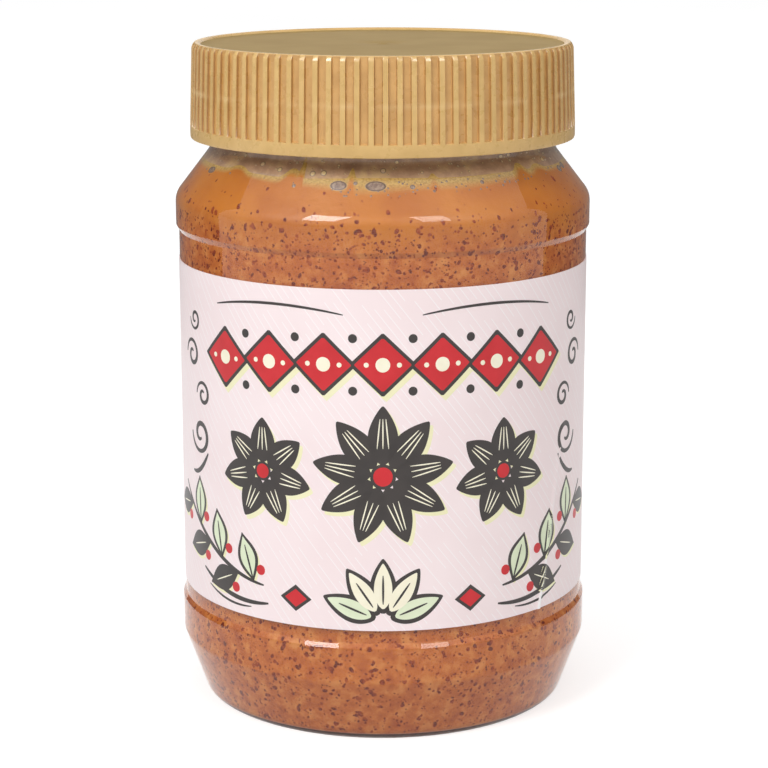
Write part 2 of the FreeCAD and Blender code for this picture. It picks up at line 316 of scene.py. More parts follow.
def clear_plastic():
    """Clear PET with faint mould ripples.

    Shadow and diffuse rays go straight through it, so that the lamps reach the contents
    and light that leaves the contents doesn't find the lamps' glossy twins.
    """
    surface = Surface("clear_plastic", roughness=0.03)
    surface.shader.inputs["Transmission Weight"].default_value = 1.0
    surface.colour(surface.mottle(30.0, (0.3, (246, 246, 244)), (0.7, (252, 252, 251))))
    surface.bump(surface.noise(60.0, detail=1.0), 0.00008, 0.4)
    clear = surface.node("ShaderNodeBsdfTransparent", {"Color": srgb(247, 247, 246)})
    straight = ray_kinds(surface.tree, ("Is Shadow Ray", "Is Diffuse Ray"))
    surface.blend(straight, surface.shader.outputs["BSDF"], clear.outputs["BSDF"])
    return surface.material


def inner_corners():
    """Inside of the jar from the base to the rim, as (radius, height, rounding)."""
    heel = JAR_RADIUS - HEEL_LEAN * (1 - BASE_WALL / HEEL_HEIGHT) - WALL
    bead = JAR_RADIUS - WALL
    panel = PANEL_RADIUS - WALL
    return [
        (heel, BASE_WALL, 1.5),
        (bead, HEEL_HEIGHT, 2.5),
        (bead, LOWER_BEAD_TOP, 0.5),
        (panel, PANEL_FOOT, 0.5),
        (panel, PANEL_HEAD, 0.5),
        (bead, UPPER_BEAD_FOOT, 0.5),
        (bead, UPPER_BEAD_TOP - WALL * math.tan(SHOULDER_TURN / 2), 3.3),
        (BORE, NECK_FOOT, 0.0),
        (BORE, RIM, 0.5),
    ]


def outer_corners():
    """Outside of the jar from the rim down to the standing ring."""
    return [
        (NECK_RADIUS, RIM, 0.5),
        (NECK_RADIUS, NECK_FOOT, 4.0),
        (JAR_RADIUS, UPPER_BEAD_TOP, 4.0),
        (JAR_RADIUS, UPPER_BEAD_FOOT, 0.5),
        (PANEL_RADIUS, PANEL_HEAD, 0.5),
        (PANEL_RADIUS, PANEL_FOOT, 0.5),
        (JAR_RADIUS, LOWER_BEAD_TOP, 0.5),
        (JAR_RADIUS, HEEL_HEIGHT, 2.5),
        (JAR_RADIUS - HEEL_LEAN, 0.0, 2.2),
        (HOLLOW_RADIUS, 0.0, 0.0),
    ]


def dome(height, steps=10):
    """Dome of the base from its edge in to the axis, raised by a height."""
    sphere = (HOLLOW_RADIUS ** 2 + PUSH_UP ** 2) / (2 * PUSH_UP)
    points = []
    for step in range(1, steps + 1):
        radius = HOLLOW_RADIUS * (1 - step / steps)
        drop = sphere - math.sqrt(sphere ** 2 - radius ** 2)
        points.append((radius, height + PUSH_UP - drop))
    return points


def shell_section():
    """Closed section of the shell: the outside down, the base, and the inside up."""
    under = [(radius, height, 0.0) for radius, height in dome(0.0)]
    over = [(radius, height, 0.0) for radius, height in reversed(dome(BASE_WALL))]
    return outer_corners() + under + over + [(HOLLOW_RADIUS, BASE_WALL, 0.0)] + inner_corners()


def make_jar(material):
    """Clear shell, inside and outside."""
    points, faces = lathe(rounded(shell_section(), 8), even_azimuths(240))
    return make_piece("jar_shell", points, faces, material, "jar")


# -------- contents

# Smears where the butter has run up the inside of the neck: azimuth, rise, width.
SMEARS = [
    (-28.8, 1.5, 2.6), (-25.6, 3.4, 0.75), (-9.4, 1.6, 0.9), (15.5, 0.7, 1.0),
    (-51.0, 0.8, 4.0), (48.0, 1.2, 2.2), (57.0, 0.7, 3.0), (95.0, 2.4, 2.6),
    (128.0, 1.5, 1.6), (166.0, 3.1, 2.0), (-160.0, 1.6, 3.4), (-118.0, 2.7, 1.4),
    (-92.0, 1.1, 3.0),
]
SMEAR_FILM = 0.9

# How far the contents reach into the wall, and small things against the wall in front
# of them.
INTO_WALL = 0.12
FACE = INTO_WALL + 0.02

# Depth of the point at the back of such a thing.
BACK = 0.15

# The contents turn from mottled to smooth between these heights.
SMOOTH_FROM = UPPER_BEAD_TOP - 1.9
SMOOTH_TO = UPPER_BEAD_TOP + 4.1


def wall_line():
    """Inside of the wall, rising from the base to the rim, as (radius, height) places."""
    corners = [(HOLLOW_RADIUS, BASE_WALL, 0.0)] + inner_corners()[:-1] + [(BORE, RIM, 0.0)]
    return rounded(corners, 5)[1:]


def degrees_away(azimuth, place):
    """Signed angle from a place to an azimuth, the short way round."""
    return (azimuth - place + 180) % 360 - 180


def edge_height(azimuth):
    """Height of the contents' edge on the wall."""
    angle = math.radians(azimuth)
    height = FILL_LEVEL + 0.18 * math.sin(3 * angle + 0.8) + 0.12 * math.sin(7 * angle + 2.0)
    for place, rise, width in SMEARS:
        spread = math.degrees(width / NECK_RADIUS)
        height += rise * math.exp(-abs(degrees_away(azimuth, place) / spread * 1.7) ** 2.6)
    return height


def foam_depth(azimuth):
    """Depth of the pale foam under the contents' edge, deepest at the front."""
    front = math.exp(-(degrees_away(azimuth, -6.0) / 14) ** 2)
    side = math.exp(-(degrees_away(azimuth, 26.0) / 18) ** 2)
    return 1.0 + 1.9 * front + 1.1 * side + 0.15 * math.sin(math.radians(azimuth) * 9)


def outline_radius(outline, height):
    """Radius of a rising outline at a height."""
    for (r0, z0), (r1, z1) in zip(outline, outline[1:]):
        if z0 <= height <= z1 and z1 > z0:
            return r0 + (r1 - r0) * (height - z0) / (z1 - z0)
    return outline[-1][0]


def butter():
    """Orange-tan paste: smoother at the top, mottled lower down, foam along its edge."""
    surface = Surface("butter", roughness=0.45, ior=1.45, specular=0.25)
    tones = ((0.32, (172, 80, 10)), (0.50, (194, 103, 28)), (0.68, (212, 134, 60)))
    low = surface.mottle(420.0, *tones, detail=5.0, roughness=0.62)
    high = surface.mottle(120.0, (0.35, (187, 103, 4)), (0.65, (200, 118, 16)), detail=2.0)
    wavy = surface.math("MULTIPLY", surface.noise(90.0), 0.008)
    level = surface.math("ADD", surface.height(), wavy)
    body = surface.mix(surface.range(level, SMOOTH_FROM * MM, SMOOTH_TO * MM), low, high)
    foam = surface.mottle(2600.0, (0.35, (182, 142, 72)), (0.6, (208, 170, 92)), detail=2.0)
    surface.colour(surface.mix(surface.attribute("foam"), body, foam))
    surface.bump(surface.noise(700.0), 0.0003, 0.25)
    return surface.material


def make_butter(material):
    """Contents that fill the jar just into its wall, up to an uneven edge."""
    inside = [(radius + INTO_WALL, height) for radius, height in wall_line()]
    start = UPPER_BEAD_TOP - 2.0
    rows = 26
    insets = (0.35, SMEAR_FILM, 2.2, 4.5, 9.0, 15.0, 22.0)
    azimuths = even_azimuths(900)
    tops = [edge_height(azimuth) for azimuth in azimuths]
    base = [(radius, height - INTO_WALL) for radius, height in reversed(dome(BASE_WALL))]
    points = [(0.0, 0.0, base[0][1])]
    foam = [0.0]
    for radius, height in base[1:] + [place for place in inside if place[1] < start]:
        for azimuth in azimuths:
            points.append(around(radius, azimuth, height))
            foam.append(0.0)
    for row in range(rows + 1):
        for azimuth, top in zip(azimuths, tops):
            height = start + (top - start) * (row / rows) ** 0.8
            points.append(around(outline_radius(inside, height), azimuth, height))
            froth = 1.5 - 1.5 * (top - height) / foam_depth(azimuth)
            thin = (height - FILL_LEVEL - 0.2) / 0.4
            foam.append(min(max(froth, thin, 0.0), 1.0))
    for inset in insets:
        for azimuth, top in zip(azimuths, tops):
            level = FILL_LEVEL - 0.35 + 0.25 * math.sin(inset * 0.5 + azimuth / 25)
            height = level if inset >= SMEAR_FILM else top - 0.1
            points.append(around(outline_radius(inside, height) - inset, azimuth, height))
            foam.append(0.6)
    columns = len(azimuths)
    last = len(points) - columns
    points.append((0.0, 0.0, FILL_LEVEL - 0.3))
    foam.append(0.5)
    faces = []
    for first in range(1, last, columns):
        for column in range(columns):
            here = first + column
            beside = first + (column + 1) % columns
            faces.append([here, beside, beside + columns, here + columns])
    for column in range(columns):
        beside = (column + 1) % columns
        faces.append([0, 1 + beside, 1 + column])
        faces.append([last + column, last + beside, last + columns])
    piece = make_piece("butter_fill", points, faces, material, "almond_butter", 70.0)
    add_values(piece, "foam", foam)
    return piece


def add_values(piece, name, values):
    """Give each point of a piece a value that its material reads by name."""
    layer = piece.data.attributes.new(name, "FLOAT", "POINT")
    layer.data.foreach_set("value", values)


# -------- neck: painted shade and bubbles


def painted_neck_shade():
    """Thin grey-brown sheet inside the neck, patchy and half see-through: painted shade and reflection
    standing in for the contents' top as it shows in the lid's shadow.
    """
    surface = Surface("neck_shade_sheet", ior=1.4)
    shade_mottle = surface.noise(260.0, detail=5.0, roughness=0.6)
    tones = ((0.30, (172, 132, 102)), (0.52, (196, 156, 120)), (0.72, (216, 182, 126)))
    surface.colour(surface.ramp(shade_mottle, tones))
    surface.bump(surface.noise(1200.0), 0.0002, 0.6)
    surface.link(surface.range(shade_mottle, 0.35, 0.6, 0.85, 0.98), surface.shader.inputs["Alpha"])
    return surface.material


def make_painted_neck_shade(material):
    """Ring of painted shade on the inside of the neck, from the contents' edge up into the lid."""
    inside = wall_line()
    foot = FILL_LEVEL - 1.2
    head = RIM - 9.0
    rows = 18
    outer = [foot + (head - foot) * row / rows for row in range(rows + 1)]
    outline = [(outline_radius(inside, height) + INTO_WALL - 0.04, height) for height in outer]
    outline += [(outline_radius(inside, height) - 0.2, height) for height in reversed(outer)]
    points, faces = lathe(outline, even_azimuths(360))
    return make_piece("neck_shade_sheet", points, faces, material)


class Lenses:
    """Small lens-shaped closed meshes on the inside of the wall, in one piece."""

    RINGS = (0.0, 0.45, 0.72, 0.88, 1.0)
    SIDES = 14

    def __init__(self):
        self.points = []
        self.faces = []
        self.rims = []
        self.inside = wall_line()

    def add(self, azimuth, height, half_width, half_height, bulge=0.05):
        """One lens; its points carry 0 at the middle and 1 at the rim."""
        first = len(self.points)
        middle = outline_radius(self.inside, height)
        self.points.append(around(middle + FACE + bulge, azimuth, height))
        self.rims.append(0.0)
        for ring in self.RINGS[1:]:
            for side in range(self.SIDES):
                turn = 2 * math.pi * side / self.SIDES
                z = height + half_height * ring * math.sin(turn)
                away = math.degrees(half_width * ring * math.cos(turn) / middle)
                radius = outline_radius(self.inside, z) + FACE + bulge * (1 - ring ** 2)
                self.points.append(around(radius, azimuth + away, z))
                self.rims.append(ring)
        self.points.append(around(middle - BACK, azimuth, height))
        self.rims.append(0.0)
        last = len(self.points) - 1
        rings = len(self.RINGS) - 1
        for side in range(self.SIDES):
            beside = (side + 1) % self.SIDES
            self.faces.append([first, first + 1 + side, first + 1 + beside])
            for ring in range(rings - 1):
                a = first + 1 + ring * self.SIDES
                b = a + self.SIDES
                self.faces.append([a + side, b + side, b + beside, a + beside])
            rim = first + 1 + (rings - 1) * self.SIDES
            self.faces.append([rim + side, last, rim + beside])

    def finish(self, name, material):
        """Make the piece, once all its lenses are in."""
        piece = make_piece(name, self.points, self.faces, material, sharp=80.0)
        add_values(piece, "rim", self.rims)
        return piece


def bubble_skin(name, middle, other, ring, edge):
    """Round spot with a dark ring inside a paler edge; on the foam's bubbles the ring is painted shade
    and the paler edge a painted highlight.
    """
    surface = Surface(name, roughness=0.35, ior=1.4)
    rim = surface.attribute("rim")
    body = surface.mottle(1600.0, (0.4, middle), (0.62, other), detail=2.0)
    outline = surface.ramp(rim, [(0.86, ring), (0.98, edge)])
    surface.colour(surface.mix(surface.range(rim, 0.66, 0.84), body, outline))
    return surface.material


# Bubbles in the foam at the front: azimuth, height under the level, half width, half height.
BUBBLES = [
    (-13.1, 1.05, 1.6, 0.8), (-2.0, 1.05, 1.95, 0.85), (-8.1, 0.62, 0.4, 0.3),
    (8.8, 1.2, 0.5, 0.38), (31.0, 1.0, 0.42, 0.32), (-27.0, 1.4, 0.38, 0.3),
]


def make_bubbles(material):
    """Air bubbles pressed against the wall, the large ones at the front, a few elsewhere."""
    draw = random.Random(5)
    bubbles = Lenses()
    for azimuth, under, half_width, half_height in BUBBLES:
        bubbles.add(azimuth, FILL_LEVEL - under, half_width, half_height)
    for _ in range(70):
        azimuth = draw.gauss(15.0, 22.0)
        size = draw.uniform(0.09, 0.2)
        under = draw.uniform(0.3, foam_depth(azimuth) + 0.2)
        bubbles.add(azimuth, FILL_LEVEL - under, size * 1.2, size)
    for _ in range(46):
        azimuth = draw.uniform(70.0, 300.0)
        size = draw.choice((0.12, 0.2, 0.3, 0.7))
        bubbles.add(azimuth, FILL_LEVEL - draw.uniform(0.7, 1.4), size * 1.5, size * 0.8)
    return bubbles.finish("foam_bubbles", material)


def make_drops(material):
    """Drops and dabs of butter on the inside of the neck, above the contents."""
    draw = random.Random(8)
    drops = Lenses()
    for _ in range(420):
        azimuth = draw.uniform(0.0, 360.0)
        size = min(0.08 + draw.expovariate(8.0), 0.45)
        height = draw.uniform(edge_height(azimuth) + 0.3 + size, LID_LOW.z + 1.0)
        drops.add(azimuth, height, size * draw.uniform(0.8, 1.5), size, 0.1)
    return drops.finish("neck_drops", material)


def skin_brown():
    """Dark red-brown of almond skin, different from fleck to fleck."""
    surface = Surface("almond_skin", specular=0.1)
    tones = ((0.35, (106, 32, 0)), (0.5, (136, 50, 8)), (0.65, (164, 72, 18)))
    surface.colour(surface.mottle(900.0, *tones, detail=1.0))
    surface.bump(surface.noise(5000.0), 0.0001, 0.5)
    return surface.material


def make_flecks(material):
    """Flecks of almond skin against the wall, thin out towards the top."""
    draw = random.Random(11)
    inside = wall_line()
    points, faces = [], []
    # Foot, head and number of flecks: below the label, over it, and ever fewer above.
    zones = [
        (BASE_WALL + 0.5, LABEL_FOOT + 0.6, 5400),
        (LABEL_FOOT + LABEL_HEIGHT - 0.6, UPPER_BEAD_TOP - 1.5, 3600),
        (UPPER_BEAD_TOP - 1.5, UPPER_BEAD_TOP + 1.5, 260),
        (UPPER_BEAD_TOP + 1.5, FILL_LEVEL - 1.5, 110),
    ]
    for low, high, count in zones:
        for _ in range(count):
            height = draw.uniform(low, high)
            azimuth = draw.uniform(0, 360)
            size = min(0.09 + draw.expovariate(8.5), 0.55)
            add_fleck(draw, points, faces, inside, azimuth, height, size)
    return make_piece("skin_flecks", points, faces, material)


def add_fleck(draw, points, faces, inside, azimuth, height, size):
    """One flat, irregular fleck: a ring of points between an outer and an inner tip."""
    sides = 8
    stretch = draw.uniform(1.0, 1.3)
    turn = draw.uniform(0, 180)
    radius = outline_radius(inside, height) + INTO_WALL
    first = len(points)
    for side in range(sides):
        angle = 2 * math.pi * side / sides
        reach = size * draw.uniform(0.7, 1.15)
        ahead = reach * math.cos(angle) * stretch
        aside = reach * math.sin(angle) / stretch
        along, z = turned((0.0, height), turn, ahead, aside)
        away = math.degrees(along / radius)
        points.append(around(outline_radius(inside, z) + FACE, azimuth + away, z))
    points.append(around(radius + 0.05, azimuth, height))
    points.append(around(radius - BACK, azimuth, height))
    for side in range(sides):
        beside = (side + 1) % sides
        faces.append([first + side, first + beside, first + sides])
        faces.append([first + beside, first + side, first + sides + 1])


# -------- lid


def shaded_gold_top():
    """Matte gold of the lid's sunk top, painted darker and greyer than the side as shade, since less
    light falls on the top.
    """
    surface = Surface("shaded_gold_top", specular=0.02)
    surface.colour(surface.mottle(90.0, (0.35, (156, 131, 82)), (0.65, (163, 138, 89)), detail=2.0))
    surface.bump(surface.noise(3000.0, detail=2.0), 0.00003, 0.4)
    return surface.material


def gold_plastic():
    """Satin gold-tan moulding: yellow ribs; browner groove floors and dark groove walls, both painted
    shade; a paler band of painted reflection round the side.
    """
    surface = Surface("gold_plastic", roughness=0.36)
    side = surface.mottle(320.0, (0.35, (206, 168, 103)), (0.65, (216, 178, 113)), detail=4.0)
    # Painted shade: the groove floors browner than the ribs, and the groove walls darker still.
    floor = surface.mottle(300.0, (0.35, (198, 152, 90)), (0.65, (212, 166, 102)))
    groove_shaded = surface.mix(surface.attribute("groove"), side, floor)
    edge = surface.math("MULTIPLY", surface.attribute("edge"), 0.75)
    groove_wall_shaded = surface.mix(edge, groove_shaded, (150, 96, 52))
    # Painted reflection: a slightly paler, patchy band round the middle of the side, where a band of
    # light shows in the gloss.
    away = surface.math("SUBTRACT", surface.height(), SHEEN_BAND_HEIGHT * MM)
    line = surface.range(surface.math("ABSOLUTE", away), 0.0, 0.0008, 0.4, 0.0)
    band = surface.math("MULTIPLY", line, surface.range(surface.noise(120.0), 0.4, 0.65))
    surface.colour(surface.mix(band, groove_wall_shaded, (246, 222, 170)))
    surface.roughness(surface.range(surface.noise(500.0), 0.3, 0.7, 0.24, 0.36))
    surface.bump(surface.noise(3000.0, detail=2.0), 0.00003, 0.4)
    return surface.material


RIBS = 90
RIB_DEPTH = 0.5
RIB_SHARE = 0.43
RIB_EDGE = 0.06
BAND_HEIGHT = 2.3
RUN_IN = 0.15
RIB_HEAD = 0.8
BORDER_WIDTH = 0.8
BORDER_HEIGHT = 0.5
LID_LEAN = 0.5
LID_SKIN = 2.1
LID_TOP_SKIN = 1.1
# Height of the band of painted reflection on the lid's side.
SHEEN_BAND_HEIGHT = LID_LOW.z + 8.9
RIB_PHASES = (0.03, 0.16, 0.27, 0.37, 0.40, 0.43, 0.46, 0.50, 0.72, 0.93, 0.97, 1.0)


def groove_depth(phase):
    """Depth of the side between two ribs: 0 on a rib, 1 in a groove, soft at its edges."""
    rise = (phase - RIB_SHARE + RIB_EDGE / 2) / RIB_EDGE
    fall = (1.0 - phase) / RIB_EDGE + 0.5
    again = 0.5 - phase / RIB_EDGE
    return min(max(min(rise, fall), again, 0.0), 1.0)


def make_lid(material, shaded_top_material):
    """Ribbed screw cap: lower band, ribs with sloping heads, border, sunk top, skirt."""
    foot = LID_LOW.z
    height = LID_HIGH.z - foot
    rib_head = height - RIB_HEAD
    bore = LID_RADIUS - LID_SKIN

    def side_radius(z):
        return LID_RADIUS - LID_LEAN * max(z - BAND_HEIGHT, 0.0) / (rib_head - BAND_HEIGHT)

    # Each corner is rounded by a run of short steps, given as offsets from it.
    outline = [(bore, 0.35), (bore + 0.35, 0.0)]
    outline += [(LID_RADIUS - 0.4, 0.0), (LID_RADIUS - 0.1, 0.1), (LID_RADIUS, 0.4)]
    side_start = len(outline)
    rises = [BAND_HEIGHT - 0.12, BAND_HEIGHT, BAND_HEIGHT + RUN_IN, 6.0, 11.0]
    outline += [(side_radius(z), z) for z in rises + [rib_head - 1.0, rib_head - 0.2]]
    border = side_radius(rib_head) - RIB_DEPTH
    outline += [(side_radius(rib_head) - 0.06, rib_head + 0.02), (border + 0.24, height - 0.36)]
    side_end = len(outline)
    outline += [(border + 0.06, height - 0.16), (border - 0.06, height - 0.04)]
    outline += [(border - 0.22, height)]
    slope = border - BORDER_WIDTH
    outline += [(slope + 0.17, height), (slope, height - 0.05), (slope - 0.12, height - 0.14)]
    outline += [(slope - 0.38, height - 0.4)]
    top = height - BORDER_HEIGHT
    under = top - LID_TOP_SKIN
    outline += [(slope - BORDER_HEIGHT, top), (slope - 4.0, top), (20.0, top), (8.0, top)]
    # The moulding's gate leaves a shallow dish in the middle of the top.
    outline += [(3.4, top), (2.9, top - 0.12), (1.2, top - 0.16), (0.8, top), (0.0, top + 0.05)]
    outline += [(0.0, under), (bore - 0.3, under), (bore, under - 0.3)]

    pitch = 360 / RIBS
    azimuths = [(rib + phase) * pitch for rib in range(RIBS) for phase in RIB_PHASES]

    def shape(radius, z, azimuth, row):
        depth = groove_depth((azimuth / pitch) % 1.0)
        if side_start < row < side_end:
            run_in = min(max(z - BAND_HEIGHT, 0.0) / RUN_IN, 1.0)
            sunk_radius = min(side_radius(min(z, rib_head)) - RIB_DEPTH, radius)
            radius += (sunk_radius - radius) * depth * run_in
        return radius, foot + z

    points, faces = lathe(outline, azimuths, shape)
    piece = make_piece("lid_cap", points, faces, material, "lid", 50.0)
    # Masks of the painted shade: groove depth for the floors, and a value that peaks on the groove
    # walls.
    groove_floor_shade, edges, sunk = [], [], []
    for vertex in piece.data.vertices:
        x, y, z = vertex.co / MM
        radius = math.hypot(x, y)
        azimuth = math.degrees(math.atan2(x, -y)) % 360
        depth = groove_depth((azimuth / pitch) % 1.0)
        rise = z - foot
        on_side = radius > border - 0.1 and BAND_HEIGHT < rise < height - 0.1
        groove_floor_shade.append(depth if on_side else 0.0)
        edges.append(1 - abs(2 * depth - 1) if on_side else 0.0)
        sunk.append(radius < slope - 0.3 and rise > top - 0.3)
    add_values(piece, "groove", groove_floor_shade)
    add_values(piece, "edge", edges)
    # The sunk top takes the gold with painted shade.
    piece.data.materials.append(shaded_top_material)
    for polygon in piece.data.polygons:
        polygon.material_index = int(all(sunk[vertex] for vertex in polygon.vertices))
    return piece


# -------- label

CREASE_HEAD = 38.5
CREASE_FOOT_AZIMUTH = 48.0
CREASE_HEAD_AZIMUTH = 61.0
CREASE_RISE = 0.36
CREASE_WIDTH = 0.5


def crease(azimuth, rise):
    """Height of the fold in the film, at an azimuth and a height above the label's foot."""
    if rise > CREASE_HEAD:
        return 0.0
    t = rise / CREASE_HEAD
    place = CREASE_FOOT_AZIMUTH + (CREASE_HEAD_AZIMUTH - CREASE_FOOT_AZIMUTH) * t
    away = math.radians(degrees_away(azimuth, place)) * LABEL_RADIUS
    return CREASE_RISE * (1 - t) ** 0.8 * math.exp(-(away / CREASE_WIDTH) ** 2)


LAP_HALF = 8.0
LAP_STEP = 0.12


def film_radius(azimuth, rise):
    """Radius of the film's face, raised at the back where its ends lie over each other."""
    lap = LAP_STEP if abs(degrees_away(azimuth, 180.0)) < LAP_HALF else 0.0
    return LABEL_RADIUS + crease(azimuth, rise) + lap


def on_label(along, rise, lift):
    """Point on the label: along its wrap from the front, above its foot, off its face."""
    azimuth = math.degrees(along / LABEL_RADIUS)
    return around(film_radius(azimuth, rise) + lift, azimuth, LABEL_FOOT + rise)


def film(name, base, other):
    """Printed satin film with two close tones, each an 8-bit sRGB colour."""
    surface = Surface(name, roughness=0.36)
    surface.colour(surface.mottle(220.0, (0.35, base), (0.65, other)))
    surface.bump(surface.noise(250.0, detail=2.0), 0.0001, 0.12)
    return surface.material


# Hairlines in the film's print: slope, lines to a millimetre, half width as a share of
# the gap, dashes to a millimetre and the share of a dash that is drawn.
HAIR_SLOPE = 0.78
HAIR_PACE = 0.62
HAIR_HALF = 0.045
DASH_PACE = 0.045
DASH_SHARE = 0.72


def pink_film():
    """Pale pink film with fine white hairlines that run down to the right, and a painted highlight
    along the crease.
    """
    surface = Surface("pink_film", roughness=0.36, specular=0.12)
    node = surface.math
    pink = surface.mottle(60.0, (0.3, (247, 230, 231)), (0.7, (251, 236, 237)), detail=2.0)
    wrap = surface.node("ShaderNodeUVMap", uv_map="wrap")
    parts = surface.node("ShaderNodeSeparateXYZ", {"Vector": wrap.outputs["UV"]})
    x, y = parts.outputs["X"], parts.outputs["Y"]
    lanes = node("MULTIPLY", node("ADD", x, node("MULTIPLY", y, HAIR_SLOPE)), HAIR_PACE)
    beat = node("ABSOLUTE", node("SUBTRACT", node("FRACT", lanes), 0.5))
    line = node("LESS_THAN", beat, HAIR_HALF)
    # A sine of the lane's number, scaled up, starts each lane's dashes somewhere else.
    wobble = node("SINE", node("MULTIPLY", node("FLOOR", lanes), 12.9))
    shift = node("FRACT", node("MULTIPLY", wobble, 43.7))
    along = node("SUBTRACT", node("MULTIPLY", x, HAIR_SLOPE), y)
    dash = node("FRACT", node("ADD", node("MULTIPLY", along, DASH_PACE), shift))
    hair = node("MULTIPLY", node("MULTIPLY", line, node("LESS_THAN", dash, DASH_SHARE)), 0.75)
    lined = surface.mix(hair, pink, (255, 252, 252))
    # Painted highlight: white along the crest of the crease, by the fold value.
    surface.colour(surface.mix(surface.attribute("fold"), lined, (255, 255, 255)))
    surface.bump(surface.noise(250.0, detail=2.0), 0.0001, 0.12)
    return surface.material


def make_label(material):
    """Wrapped film with its crease at the front right and its lap at the back."""
    rows = 44
    # Turned a little, so that no column of points lies on the lap's edge.
    azimuths = [azimuth - 180 + 0.05 for azimuth in even_azimuths(900)]
    outline = [(LABEL_RADIUS, LABEL_HEIGHT * row / rows) for row in range(rows + 1)]
    outline += [(PANEL_RADIUS, LABEL_HEIGHT), (PANEL_RADIUS, 0.0)]

    def shape(radius, rise, azimuth, row):
        return film_radius(azimuth, rise) if row <= rows else radius, LABEL_FOOT + rise

    points, faces = lathe(outline, azimuths, shape)
    piece = make_piece("label_film", points, faces, material, "label")
    places = [(azimuth, rise) for _, rise in outline for azimuth in azimuths]
    ridge = [crease(*place) / CREASE_RISE for place in places]
    # The fold value puts the painted highlight on the crease's crest, strongest low down.
    add_values(piece, "fold", [min(max(2.2 * height - 0.9, 0.0), 1.0) for height in ridge])
    layer = piece.data.uv_layers.new(name="wrap")
    for loop in piece.data.loops:
        azimuth, rise = places[loop.vertex_index]
        layer.data[loop.index].uv = (math.radians(azimuth) * LABEL_RADIUS, rise)
    return piece


# Longest side of a cell in a patch of ink, short enough to follow the crease.
PRINT_STEP = 0.45

# Inks, from the lowest layer up: two close tones as 8-bit sRGB, and lift off the film.
INKS = {
    "yellow": ((240, 236, 190), (244, 240, 200), 0.015),
    "dark": ((44, 38, 36), (52, 45, 42), 0.03),
    "red": ((196, 22, 32), (206, 30, 40), 0.045),
    "green": ((222, 232, 200), (228, 238, 208), 0.045),
    "cream": ((246, 240, 214), (250, 245, 222), 0.06),
    "line": ((44, 38, 36), (52, 45, 42), 0.075),
}

# Height of the lozenge band and of the rosettes' hubs above the label's foot.
BAND_RISE = 48.8
HUB_RISE = 28.6

# Volutes on one side: distance from the middle, rise, radius, way round, width of stroke.
SCROLLS = [
    (41.0, 31.5, 3.8, -1, 0.95),
    (39.6, 39.2, 2.6, 1, 0.75),
    (44.0, 46.2, 3.0, 1, 0.8),
    (42.6, 53.0, 2.2, -1, 0.6),
]

# Bows on one side: two ends as distance from the middle and rise, sag, width of stroke.
BOWS = [
    ((38.0, 28.4), (44.5, 24.0), -1.4, 0.9),
    ((22.0, 3.2), (40.0, 6.4), -1.6, 0.9),
    ((26.0, 1.9), (38.0, 3.6), -0.9, 0.45),
    ((34.0, 57.2), (7.0, 57.6), 1.4, 0.5),
]


class Print:
    """Thin closed patches of one ink on the label, gathered into one mesh."""

    def __init__(self, name, material, lift):
        self.name = name
        self.material = material
        self.lift = lift
        self.points = []
        self.faces = []

    def patch(self, grid):
        """One patch from rows of (along, rise) places."""
        rows = len(grid)
        columns = len(grid[0])
        first = len(self.points)
        for lift in (self.lift, -0.02):
            for line in grid:
                for along, rise in line:
                    self.points.append(on_label(along, rise, lift))
        under = first + rows * columns
        for row in range(rows - 1):
            for column in range(columns - 1):
                a = row * columns + column
                b = a + columns
                self.faces.append([first + a, first + a + 1, first + b + 1, first + b])
                self.faces.append([under + b, under + b + 1, under + a + 1, under + a])
        rim = list(range(columns))
        rim += [row * columns + columns - 1 for row in range(1, rows)]
        rim += [(rows - 1) * columns + column for column in range(columns - 2, -1, -1)]
        rim += [row * columns for row in range(rows - 2, 0, -1)]
        for here, there in zip(rim, rim[1:] + rim[:1]):
            self.faces.append([first + there, first + here, under + here, under + there])

    def shape(self, place, length, width, angle, profile):
        """Shape about a long axis; profile(t) gives its half width from 0 to 1."""
        steps = max(math.ceil(length / PRINT_STEP), 16)
        across = max(math.ceil(width / PRINT_STEP), 4)
        grid = []
        for step in range(steps + 1):
            t = 0.01 + 0.98 * step / steps
            half = max(profile(t), 0.012) * width / 2
            asides = [half * (2 * index / across - 1) for index in range(across + 1)]
            grid.append([turned(place, angle, (t - 0.5) * length, aside) for aside in asides])
        self.patch(grid)

    def disc(self, place, size):
        """Round spot."""
        self.shape(place, size, size, 0, disc_profile)

    def stroke(self, places, width):
        """Line of ink through places, thinner at its ends."""
        grid = []
        count = len(places)
        for index, (x, z) in enumerate(places):
            x0, z0 = places[max(index - 1, 0)]
            x1, z1 = places[min(index + 1, count - 1)]
            length = math.hypot(x1 - x0, z1 - z0) or 1.0
            thick = width / 2 * (0.35 + 0.65 * math.sin(math.pi * index / (count - 1)) ** 0.6)
            dx = -(z1 - z0) / length * thick
            dz = (x1 - x0) / length * thick
            grid.append([(x - dx, z - dz), (x, z), (x + dx, z + dz)])
        self.patch(grid)

    def finish(self):
        return make_piece(self.name, self.points, self.faces, self.material, sharp=60.0)


def almond_profile(t):
    """Half width of an almond: round at its foot, pointed at its head."""
    return math.sin(math.pi * t ** 0.82) ** 0.8


def leaf_profile(t):
    """Half width of a leaf, pointed at both ends."""
    return math.sin(math.pi * t) ** 1.15


def disc_profile(t):
    """Half width of a disc."""
    return math.sqrt(max(1 - (2 * t - 1) ** 2, 0.0))


def diamond_profile(t):
    """Half width of a lozenge."""
    return 1 - abs(2 * t - 1)


def spiral(along, rise, radius, turns, start, hand):
    """Places along a volute that winds in from its rim."""
    count = int(26 * turns)
    places = []
    for index in range(count + 1):
        t = index / count
        angle = math.radians(start + hand * 360 * turns * t)
        reach = radius * (1 - 0.82 * t)
        places.append((along + reach * math.cos(angle), rise + reach * math.sin(angle)))
    return places


